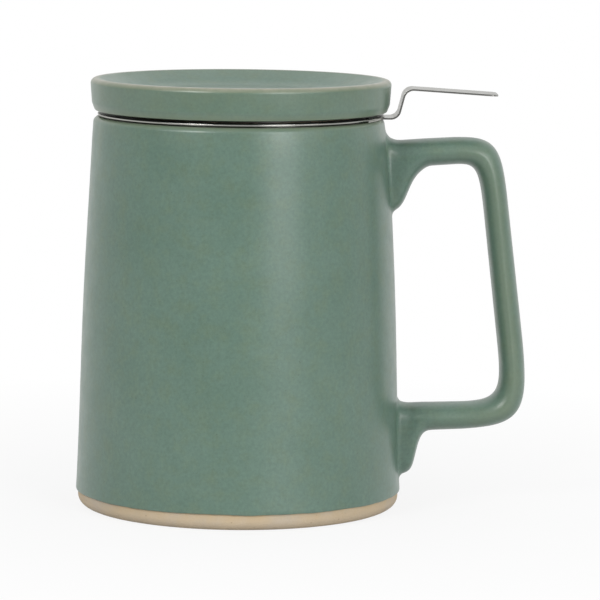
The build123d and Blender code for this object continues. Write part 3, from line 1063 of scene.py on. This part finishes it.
def buildGauze(s):
    sizes = [
        ("Warps", "Int", s["warps"]),
        ("Wefts", "Int", s["wefts"]),
        ("Radius", "Float", s["radius"]),
        ("Foot", "Float", s["foot"]),
        ("Top", "Float", s["top"]),
        ("Wire", "Float", s["wire"]),
        ("Weave", "Float", s["weave"]),
        ("Material", "Material", gauzeSteel),
    ]
    tree, given, groupOut = newTree("wireCloth", sizes)
    pitch = calc(tree, "DIVIDE", calc(tree, "SUBTRACT", given["Top"], given["Foot"]), given["Wefts"])
    inputs = {"Resolution": s["wireSides"], "Radius": given["Wire"]}
    wire = addNode(tree, "GeometryNodeCurvePrimitiveCircle", inputs, mode="RADIUS").outputs[0]

    def wires(count, run, angle, up, wave, line, cyclic):
        out = plus(tree, given["Radius"], times(tree, given["Weave"], wave))
        inputs = {"Count": times(tree, count, run), "Position": polar(tree, angle, out, up)}
        points = addNode(tree, "GeometryNodePoints", inputs).outputs[0]
        inputs = {"Points": points, "Curve Group ID": line}
        lines = addNode(tree, "GeometryNodePointsToCurves", inputs).outputs[0]
        if cyclic:
            inputs = {"Geometry": lines, "Cyclic": True}
            lines = addNode(tree, "GeometryNodeSetSplineCyclic", inputs).outputs[0]
        inputs = {"Curve": lines, "Profile Curve": wire, "Fill Caps": not cyclic}
        return addNode(tree, "GeometryNodeCurveToMesh", inputs).outputs[0]

    # two points to a crossing, and over and under in turn
    warpTurn = calc(tree, "DIVIDE", 2 * math.pi, given["Warps"])
    run = plus(tree, times(tree, given["Wefts"], 2), 1)
    line, k = splitIndex(tree, run)
    along = times(tree, k, 0.5)
    wave = calc(tree, "SINE", times(tree, plus(tree, along, line), math.pi))
    up = plus(tree, given["Foot"], times(tree, along, pitch))
    warps = wires(given["Warps"], run, times(tree, line, warpTurn), up, wave, line, False)

    run = times(tree, given["Warps"], 2)
    line, k = splitIndex(tree, run)
    along = times(tree, k, 0.5)
    wave = times(tree, calc(tree, "COSINE", times(tree, plus(tree, along, line), math.pi)), -1)
    up = plus(tree, given["Foot"], times(tree, plus(tree, line, 0.5), pitch))
    wefts = wires(given["Wefts"], run, times(tree, along, warpTurn), up, wave, line, True)

    cloth = addNode(tree, "GeometryNodeJoinGeometry")
    for part in (warps, wefts):
        tree.links.new(part, cloth.inputs[0])
    smooth = addNode(tree, "GeometryNodeSetShadeSmooth", {0: cloth.outputs[0]}).outputs[0]
    endTree(tree, smooth, given["Material"], groupOut)
    start = bpy.data.meshes.new("gauzeStart")
    piece = bakeTree("wireGauze", start, tree, {label: value for label, kind, value in sizes})
    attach(piece, "infuser")
    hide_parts("infuser_gauze")


buildGauze(gauze)
print("welds and gauze made")


# Sheet pieces that keep their CAD shape
for node in ("infuser_sleeve", "infuser_base"):
    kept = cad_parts[node]
    kept.data.materials.clear()
    kept.data.materials.append(satinSteel)


# Floor and light
studio = {
    "ambient": 0.9,
    "front": 0.252,  # the open side behind the camera, as a share of the white behind the mug
    "backRamp": (-0.1, 0.45),  # it grows to white over these parts of a direction's Y
    "top": 0.62,  # and to this share overhead, over these of its Z
    "topRamp": (0.3, 0.75),
    "floorColour": (0.64, 0.64, 0.64, 1),
    "paperColour": (0.67, 0.67, 0.67, 1),
    "paperNoise": (30, 3),
    "floorCorners": [(-4, -0.3), (4, -0.3), (4, 4), (-4, 4)],
    "floorDrop": 0.03 * mm,  # keeps the floor clear of the foot's own flat
    "floorGlow": (0.86, 1.0),  # share of plain white that is seen in the floor, near the mug and far off
    "floorFade": (0.05, 0.26),  # between these distances from the axis
    "lamps": [
        # name, azimuth from the camera (right is +), elevation, distance, width, height, watts
        ("tallRight", 31, 20, 1.1, 0.48, 0.74, 6.7),
        ("sideRight", 60, 22, 1.1, 0.24, 0.7, 1.0),
        ("highLeft", -38, 30, 1.1, 0.28, 0.36, 5.0),
        ("sideLeft", -58, 26, 1.1, 0.2, 0.34, 0.7),
        ("overhead", 10, 82, 1.2, 0.9, 0.9, 0.5),
    ],
    "aim": (0.012, 0, 0.062),
}


def seenWhite(tree):
    path = addNode(tree, "ShaderNodeLightPath").outputs
    seen = calc(tree, "MAXIMUM", path["Is Camera Ray"], path["Is Glossy Ray"])
    return calc(tree, "MAXIMUM", seen, path["Is Transmission Ray"])


def buildStudio(s):
    world = bpy.data.worlds.new("studio")
    world.use_nodes = True
    scene.world = world
    tree = world.node_tree
    tree.nodes["Background"].inputs["Color"].default_value = (1, 1, 1, 1)
    direction = addNode(tree, "ShaderNodeTexCoord").outputs["Object"]
    toward = addNode(tree, "ShaderNodeSeparateXYZ", {0: direction}).outputs
    back = mapped(tree, toward[1], *s["backRamp"], s["front"], 1.0)
    top = mapped(tree, toward[2], *s["topRamp"], s["front"], s["top"])
    straight = addNode(tree, "ShaderNodeLightPath").outputs["Is Camera Ray"]
    around = calc(tree, "MAXIMUM", calc(tree, "MAXIMUM", back, top), straight)
    level = times(tree, mapped(tree, seenWhite(tree), 0, 1, s["ambient"], 1.0), around)
    tree.links.new(level, tree.nodes["Background"].inputs["Strength"])

    mesh = bpy.data.meshes.new("floor")
    mesh.from_pydata([(x, y, -s["floorDrop"]) for x, y in s["floorCorners"]], [], [(0, 1, 2, 3)])
    floor = linkMesh("floor", mesh)
    material = bpy.data.materials.new("paleFloor")
    material.use_nodes = True
    tree = material.node_tree
    tree.nodes.remove(tree.nodes["Principled BSDF"])
    place = addNode(tree, "ShaderNodeTexCoord").outputs["Object"]
    paper = mixed(tree, noise(tree, place, *s["paperNoise"]), s["floorColour"], s["paperColour"])
    matte = addNode(tree, "ShaderNodeBsdfDiffuse", {"Color": paper}).outputs[0]
    white = addNode(tree, "ShaderNodeEmission", {"Color": (1, 1, 1, 1), "Strength": 1.0}).outputs[0]
    far = addNode(tree, "ShaderNodeVectorMath", {0: place}, operation="LENGTH").outputs["Value"]
    share = times(tree, seenWhite(tree), mapped(tree, far, *s["floorFade"], *s["floorGlow"]))
    both = addNode(tree, "ShaderNodeMixShader", {0: share, 1: matte, 2: white}).outputs[0]
    tree.links.new(both, tree.nodes["Material Output"].inputs["Surface"])
    floor.data.materials.append(material)

    for name, azimuth, elevation, distance, width, height, watts in s["lamps"]:
        a, e = math.radians(azimuth), math.radians(elevation)
        toward = Vector((math.sin(a) * math.cos(e), -math.cos(a) * math.cos(e), math.sin(e)))
        data = bpy.data.lights.new(name, "AREA")
        data.shape = "RECTANGLE"
        data.size, data.size_y = width, height
        data.energy = watts
        lamp = bpy.data.objects.new(name, data)
        scene.collection.objects.link(lamp)
        lamp.location = Vector(s["aim"]) + distance * toward
        lamp.rotation_mode = "QUATERNION"
        lamp.rotation_quaternion = toward.to_track_quat("Z", "Y")


buildStudio(studio)
scene.view_settings.view_transform = "Standard"
print("studio set")
